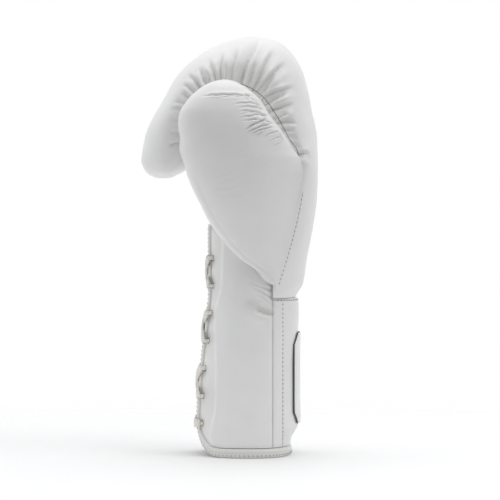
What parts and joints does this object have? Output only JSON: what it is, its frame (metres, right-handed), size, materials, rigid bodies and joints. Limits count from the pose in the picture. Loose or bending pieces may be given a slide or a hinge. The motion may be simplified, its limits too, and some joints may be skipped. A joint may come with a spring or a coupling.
{
  "type": "boxing glove",
  "caption": "Lace-up leather boxing glove for the right hand: a padded, gathered mitt curled over the fingertips, a padded thumb and a long cuff with a laced slit.",
  "frame": {"origin": "bottom centre of the glove's box, level with the flat underside of the cuff's hem, on which the glove stands", "axes": "+Z from the hem towards the knuckles, +X towards the back of the hand, the palm and the laced slit face -X, and the thumb is on the -Y side"},
  "size_m": [0.1396, 0.1692, 0.3292],
  "materials": {
    "leather": "smooth white, satin",
    "tape": "thin white leather, folded over the edges",
    "lace": "flat off-white braid",
    "patch": "smooth white, bare"
  },
  "bodies": {
    "root": {"back_pad": "leather", "palm_panel": "leather", "thumb_outer": "leather", "thumb_inner": "leather", "cuff_thumb_side": "leather", "cuff_little_finger_side": "leather", "cuff_back": "leather", "edge_tape": "tape", "lace": "lace", "cuff_patch": "patch"}
  },
  "joints": []
}
